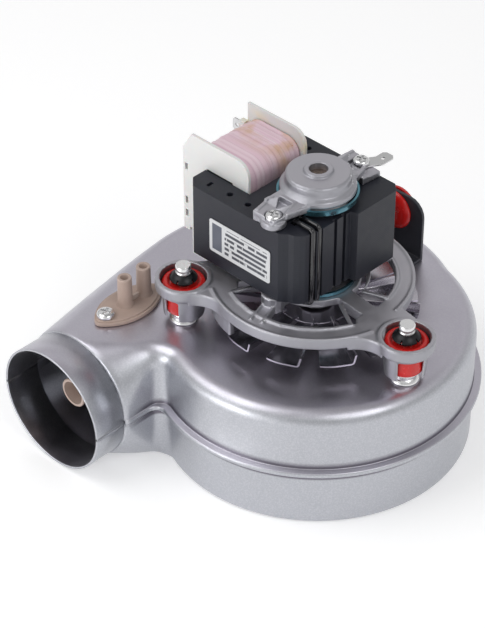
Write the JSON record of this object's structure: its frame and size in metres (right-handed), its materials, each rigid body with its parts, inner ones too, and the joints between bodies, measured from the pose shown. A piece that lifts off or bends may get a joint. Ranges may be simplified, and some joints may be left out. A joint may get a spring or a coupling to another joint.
{
  "type": "combustion fan",
  "caption": "Radial flue-gas fan for a gas boiler: pressed volute with round outlet, shaded-pole motor on rubber-mounted bracket, pressure tap and hanger.",
  "frame": {"origin": "centre of the bounding box's underside: the plane the fan stands on when it lies on its inlet side", "axes": "+Z along the motor shaft from the inlet eye to the motor; the round outlet points along -Y; the hanger plate is at +Y"},
  "size_m": [0.1732, 0.1858, 0.1394],
  "materials": {
    "sheet": "aluminised pressed steel, satin with fine mottling",
    "casting": "satin die-cast aluminium",
    "bright": "bright zinc plated steel",
    "blued": "blue-green passivated steel, glossy",
    "lamination": "blue-black oxide on stacked laminations",
    "core": "bare lamination leg inside the coil",
    "bobbin": "ivory moulded polyamide",
    "tape": "pale pink insulating tape over the winding",
    "copper": "enamelled copper wire",
    "lacquer": "black lacquer over copper, glossy",
    "bronze": "oil-filled sintered bronze",
    "silicone": "red silicone rubber, slightly glossy",
    "washer": "black phosphated spring steel",
    "tap": "taupe brown heat-resistant plastic",
    "hanger": "dark grey coated sheet steel",
    "tin": "tinned sheet",
    "label": null,
    "rotor": "turned lamination core with cast end rings",
    "blade": "bright rolled sheet steel",
    "black_plastic": "black moulded plastic"
  },
  "bodies": {
    "casing": {"volute_upper_shell": "sheet", "volute_lower_shell": "sheet", "pressure_tap": "tap", "pressure_tap_screw": "bright", "motor_bracket": "casting", "hanger_plate": "hanger", "hanger_grommet": "silicone", "stator_stack": "lamination", "coil_core": "core", "shading_ring_front_1": "lacquer", "shading_ring_back_1": "lacquer", "shading_ring_front_2": "lacquer", "shading_ring_back_2": "lacquer", "bobbin": "bobbin", "coil_winding": "copper", "coil_tape": "tape", "coil_terminal_upper": "tin", "coil_terminal_lower": "tin", "centring_ring_upper": "blued", "centring_ring_lower": "blued", "upper_end_cap": "casting", "bearing_upper": "bronze", "bearing_lower": "bronze", "bearing_retainer_upper": "tin", "bearing_retainer_lower": "tin", "through_screw_front": "bright", "through_screw_back": "bright", "earth_tab": "tin", "rating_label": "label", "mounting_post_left": "bright", "grommet_left": "silicone", "lock_washer_left": "washer", "mounting_post_right": "bright", "grommet_right": "silicone", "lock_washer_right": "washer", "mounting_post_rear": "bright", "grommet_rear": "silicone", "lock_washer_rear": "washer"},
    "rotor": {"rotor_shaft": "bright", "rotor_core": "rotor", "impeller": "sheet", "impeller_nut": "bright", "cooling_fan": "blade", "cooling_fan_hub": "black_plastic"}
  },
  "joints": [
    {"name": "rotor_spin", "type": "hinge", "parent": "casing", "child": "rotor", "pos_m": [0.01083, 0.01042, 0.06], "axis": [0, 0, 1], "continuous": true}
  ]
}
